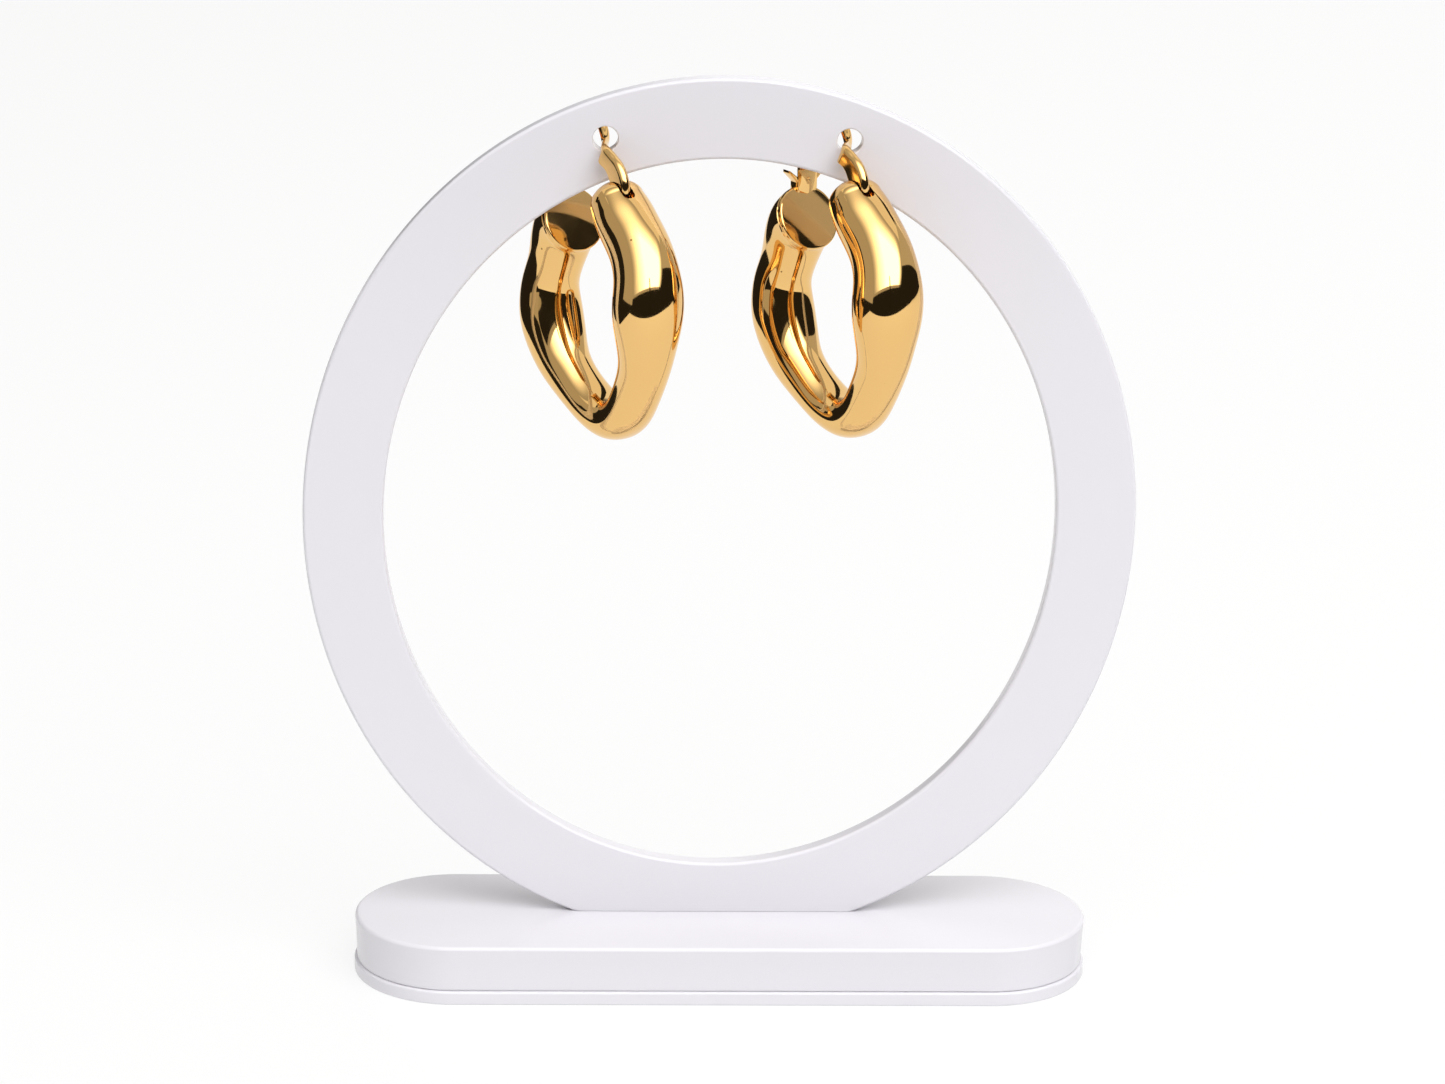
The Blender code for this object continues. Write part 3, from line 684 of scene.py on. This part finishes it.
def wire_grid(name):
    """The strip's sections carried square to the arch's line, which is smoothed, and closed over a small
    round at the tip. In the ring the wire is moved by what it settled, which fades out to both sides."""
    tip = (front - CATCH_PLATE - TIP_CLEARANCE - POST_WIDTH / 2, top + TIP_CLEARANCE)
    table = np.array(WIRE_STATIONS)
    middle = (PIN_ACROSS + tip[0]) / 2
    post = table[:, 5] > 0
    width = np.where(post, POST_WIDTH, BAND_WIDTH)
    thick = np.where(post, POST_THICKNESS, BAND_THICKNESS)
    rows = np.column_stack([
        middle + table[:, 0] * (PIN_ACROSS - middle), PIN_UP + table[:, 1] * ARCH_HEIGHT,
        WIRE_SIDE + table[:, 2] * BAND_THICKNESS, table[:, 3] * width, table[:, 4] * width, thick / 2,
    ])
    share = np.interp(table[:, 0], SETTLED_RUN, [0, 1, 1, 0])
    rows[:, 1] += share * SETTLED[name][1]
    rows[:, 2] += share * SETTLED[name][0]
    rows = np.vstack([rows, [*tip, CATCH_SIDE, POST_WIDTH / 2, POST_WIDTH / 2, POST_THICKNESS / 2]])
    line = softened(evenly(through_rows(rows, 12), 300, 3), 3)
    _, way = frames(line[:, :2])
    reach, aside = strip(line[:, 3], line[:, 4], line[:, 5])
    across, up = line[:, :1] + reach * way[:, :1], line[:, 1:2] + reach * way[:, 1:]
    grid = np.stack([across, line[:, 2:3] + aside, up], 2)
    narrow = np.sqrt(1 - np.linspace(0, 0.97, 7)[1:, None, None] ** 2)
    end = grid[-1].mean(0)
    return np.concatenate([grid, end + (grid[-1] - end) * narrow - [0, 0, TIP_ROUND] * (1 - narrow)])


wire_gold = gold_material("wire_gold", smooth=0.05, hazy=0.11, hairlines=0.35)
for name in ("left", "right"):
    wire = surface(f"{name}_wire", hung(wire_grid(name), name), cap_ends=True)
    wire = piece(f"{name}_wire", wire, wire_gold)
    half = BAND_THICKNESS / 2 + EYE_PROUD
    bore = PIN_RADIUS + PIN_CLEARANCE
    eye = rod(bore + EYE_WALL, [(-half, 0.94), (-0.85 * half, 1), (0.85 * half, 1), (half, 0.94)])
    carve(wire, surface("eye", hung(eye, name), cap_ends=True), "UNION")
    bore = rod(bore, [(-2 * half, 1), (2 * half, 1)])
    carve(wire, surface("bore", hung(bore, name), cap_ends=True), sharp=40)
    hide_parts(f"{name}_ear_wire")
    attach(wire, "stand")

# Hinge pins: round gold-coloured rod, pressed into the shell on both sides of the slot, its ends turned
# over. The solids that all these pieces stand for are hidden, and take the same finishes.
PIN_EASE = 0.00012

for name in ("left", "right"):
    half = PIN_HALF
    head = [(-half, 0.7), (-half + PIN_EASE / 2, 0.93), (-half + PIN_EASE, 1)]
    profile = head + [(-side, share) for side, share in head[::-1]]
    pin = surface(f"{name}_pin", hung(rod(PIN_RADIUS, profile), name), cap_ends=True)
    pin = piece(f"{name}_pin", pin, mirror_gold)
    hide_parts(f"{name}_hinge_pin")
    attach(pin, f"{name}_swing")

for name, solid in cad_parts.items():
    solid.data.materials.clear()
    solid.data.materials.append(white_acrylic if name.startswith("stand") else mirror_gold)

# Studio: a white sweep under and behind the stand that ends short of the camera, a dark room beyond it, a
# large soft light high in front that fades to the left and upwards, and pale walls and a ceiling round it.
# The light's dark stand draws a narrow dark streak in the gold.
SWEEP_EDGE = ((-0.75, -0.51), (4, -0.51), (4, 3), (-0.19, 3), (-0.25, 0.05))
SWEEP_DROP = 0.00002


def card(name, corners, colour, strength, soft=(0, 0, 0, 0), faded=0.0):
    """A flat card that gives off light. Its corners run from the low left one to the right and then up. Near
    its left, right, low and high edge, over the shares of its size that soft gives, it fades to a weaker
    level by the square of the distance to the edge."""
    mesh = bpy.data.meshes.new(name)
    mesh.from_pydata(corners, [], [(0, 1, 2, 3)])
    mesh.uv_layers.new(name="card").data.foreach_set("uv", [0, 0, 1, 0, 1, 1, 0, 1])
    made = bpy.data.objects.new(name, mesh)
    bpy.context.scene.collection.objects.link(made)
    paint = bpy.data.materials.new(name)
    paint.use_nodes = True
    tree = paint.node_tree
    tree.nodes.clear()
    if any(soft):
        place = node(tree, "ShaderNodeUVMap", {}, uv_map="card")["UV"]
        place = node(tree, "ShaderNodeSeparateXYZ", {"Vector": place})
        level = 1.0
        for axis, edge, share in zip("XXYY", (0, 1, 0, 1), soft):
            if share:
                ramp = ranged(tree, place[axis], edge, abs(edge - share), 0.0, 1.0)
                level = reckon(tree, "MULTIPLY", reckon(tree, "POWER", ramp, 2.0), level)
        strength = reckon(tree, "MULTIPLY_ADD", level, strength - faded, faded)
    lamp = node(tree, "ShaderNodeEmission", {"Color": (*colour, 1), "Strength": strength})
    node(tree, "ShaderNodeOutputMaterial", {"Surface": lamp["Emission"]})
    mesh.materials.append(paint)


sweep = bpy.data.meshes.new("sweep")
sweep.from_pydata([(x, y, -SWEEP_DROP) for x, y in SWEEP_EDGE], [], [tuple(range(len(SWEEP_EDGE)))])
sweep_white, _, sweep_shader = principled("sweep_white", Base_Color=(0.15, 0.15, 0.15, 1.0), Roughness=0.8)
sweep_shader.inputs["Emission Color"].default_value = (1, 1, 1, 1)
sweep_shader.inputs["Emission Strength"].default_value = 0.785
sweep.materials.append(sweep_white)
floor = bpy.data.objects.new("sweep", sweep)
bpy.context.scene.collection.objects.link(floor)
backdrop = [(-0.9, 3, 0), (4, 3, 0), (4, 3, 3), (-0.9, 3, 3)]
card("backdrop", backdrop, (1, 1, 1), 0.99, soft=(0.2, 0, 0, 0))
left_wall = [(-2.4, -2.2, 0.3), (-2.4, 0, 0.2), (-2.4, 0, 2.4), (-2.4, -2.2, 2.4)]
card("left_wall", left_wall, (1, 0.97, 0.92), 0.50)
right_wall = [(2.6, -1, 1.9), (2.6, 2, 0.2), (2.6, 2, 2.4), (2.6, -1, 2.4)]
card("right_wall", right_wall, (1, 0.98, 0.94), 0.55)
front_wall = [(-2.4, -2.2, 0.7), (2.6, -2.2, 1.3), (2.6, -2.2, 2.4), (-2.4, -2.2, 2.4)]
card("front_wall", front_wall, (1, 0.96, 0.9), 0.45)
ceiling = [(-2.4, -2.2, 2.4), (2.6, -2.2, 2.4), (2.6, 1.6, 2.4), (-2.4, 1.6, 2.4)]
card("ceiling", ceiling, (1, 0.98, 0.94), 0.95)
back_wall = [(-2.4, 0, 0.85), (-2.4, 3, 1.2), (-2.4, 3, 2.4), (-2.4, 0, 2.4)]
card("back_wall", back_wall, (1, 0.97, 0.92), 0.50)
front_light = [(-1.6, -1.5, 0.60), (2.1, -1.5, 1.06), (1.9, 0.3, 1.85), (-1.0, 0.3, 1.6)]
card("front_light", front_light, (1, 1, 1), 4.3, soft=(0.46, 0.15, 0.015, 0.45), faded=0.45)
light_stand = [(0.27, -1, 0), (0.37, -1, 0), (0.35, -1, 0.85), (0.29, -1, 0.85)]
card("light_stand", light_stand, (1, 0.9, 0.8), 0.02)

world = bpy.data.worlds.new("studio")
bpy.context.scene.world = world
world.use_nodes = True
world.node_tree.nodes["Background"].inputs["Color"].default_value = (1, 0.97, 0.93, 1)
world.node_tree.nodes["Background"].inputs["Strength"].default_value = 0.02

# Camera: a long lens a little over half a metre in front of the stand, above it and slightly to its left,
# held a degree out of level, as the photograph was taken.
YAW, PITCH, ROLL = 0.0433, 0.302, 0.0195
AIM = Vector((-0.0007062, -0.00035, 0.0589604))
DISTANCE = 0.5781745
FOCAL_PIXELS = 4500
PHOTO_WIDTH = 1445
FILM_WIDTH = 36

ahead = Vector((sin(YAW) * cos(PITCH), cos(YAW) * cos(PITCH), -sin(PITCH)))
right = Vector((cos(YAW), -sin(YAW), 0.0))
up = right.cross(ahead)
right, up = right * cos(ROLL) + up * sin(ROLL), up * cos(ROLL) - right * sin(ROLL)
camera = bpy.data.objects.new("camera", bpy.data.cameras.new("camera"))
bpy.context.scene.collection.objects.link(camera)
camera.data.sensor_width = FILM_WIDTH
camera.data.lens = FILM_WIDTH * FOCAL_PIXELS / PHOTO_WIDTH
camera.data.clip_start = 0.01
turned = Matrix((right, up, -ahead)).transposed().to_4x4()
camera.matrix_world = Matrix.Translation(AIM - ahead * DISTANCE) @ turned
bpy.context.scene.camera = camera
bpy.context.scene.view_settings.view_transform = "Standard"
